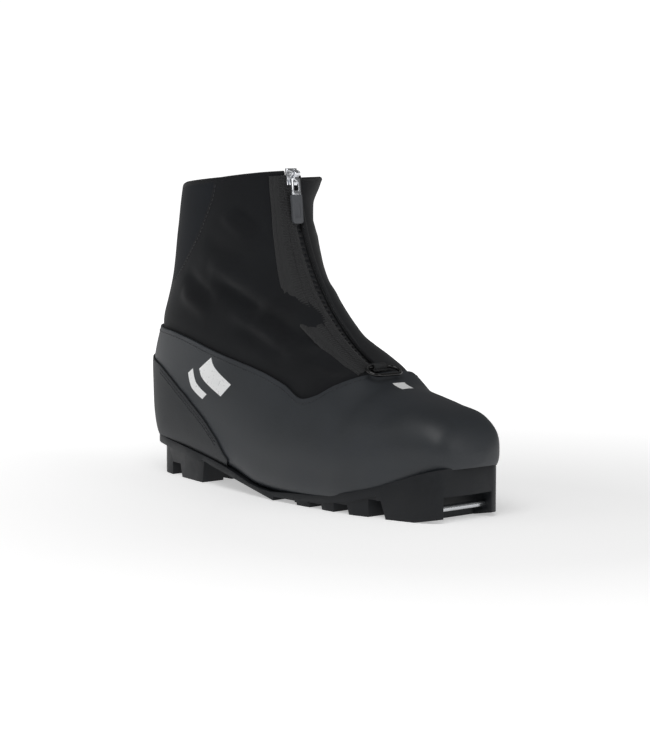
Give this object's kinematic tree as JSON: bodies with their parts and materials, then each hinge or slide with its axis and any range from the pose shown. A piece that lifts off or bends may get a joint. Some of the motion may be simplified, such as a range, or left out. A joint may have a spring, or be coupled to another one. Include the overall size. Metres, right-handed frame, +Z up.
{
  "type": "cross country boot",
  "caption": "Low cross country ski boot with a moulded lug sole, a toe bar in a pocket, a matt lower shell and a zipped softshell gaiter with a lace-cover ring.",
  "frame": {"origin": "middle of the toe bar's axis, 8 mm above the ground", "axes": "+X towards the toe, +Y towards the boot's inner side (wearer's left), along the toe bar, +Z up"},
  "size_m": [0.316, 0.0992, 0.2123],
  "materials": {
    "rubber_sole": "matt moulded rubber",
    "steel_bar": "bright drawn steel",
    "eva_foam": "closed-cell foam",
    "nylon_shank": "glass-filled nylon",
    "fibre_board": "pressed fibre board",
    "footbed_felt": "felt over foam",
    "shell_laminate": "matt coated synthetic",
    "heel_laminate": "matt coated synthetic, lighter",
    "stiffener": "thermoformed sheet",
    "softshell": "matt woven softshell",
    "softshell_rear": "matt woven softshell",
    "binding_tape": "knitted binding",
    "lining_fleece": "brushed fleece",
    "tongue_fabric": "padded fabric",
    "zip_tape": "coated woven tape",
    "zip_coil": "nylon coil",
    "chrome_zip": "polished plating",
    "tag_rubber": "soft moulded rubber",
    "tab_webbing": "welded tape",
    "ring_plastic": "gloss moulded nylon",
    "webbing": "woven webbing",
    "print_white": "screen print"
  },
  "bodies": {
    "boot": {"outsole": "rubber_sole", "toe_bar": "steel_bar", "midsole": "eva_foam", "shank": "nylon_shank", "lasting_board": "fibre_board", "insole": "footbed_felt", "shell": "shell_laminate", "heel_panel": "heel_laminate", "heel_counter": "stiffener", "toe_puff": "stiffener", "gaiter_lateral": "softshell", "gaiter_medial": "softshell", "gaiter_rear": "softshell_rear", "collar_binding": "binding_tape", "lining": "lining_fleece", "tongue": "tongue_fabric", "zip_tape_lateral": "zip_tape", "zip_tape_medial": "zip_tape", "zip_teeth_lateral": "zip_coil", "zip_teeth_medial": "zip_coil", "zip_bottom_stop": "chrome_zip", "ring_tab": "tab_webbing", "heel_loop": "webbing", "side_print": "print_white", "toe_print": "print_white"},
    "slider": {"zip_slider": "chrome_zip"},
    "puller": {"puller_link": "chrome_zip", "puller_tag": "tag_rubber"},
    "ring": {"gaiter_ring": "ring_plastic"}
  },
  "joints": [
    {"name": "zip_travel", "type": "hinge", "parent": "boot", "child": "slider", "pos_m": [-0.011, -0.0015, 0.213], "axis": [0, -1, 0], "range_deg": [0, 44]},
    {"name": "puller_swing", "type": "hinge", "parent": "slider", "child": "puller", "pos_m": [-0.15672, -0.0015, 0.20098], "axis": [0, -1, 0], "range_deg": [0, 150]},
    {"name": "ring_swing", "type": "hinge", "parent": "boot", "child": "ring", "pos_m": [-0.0735, -0.0015, 0.07984], "axis": [0, -1, 0], "range_deg": [0, 140]}
  ]
}
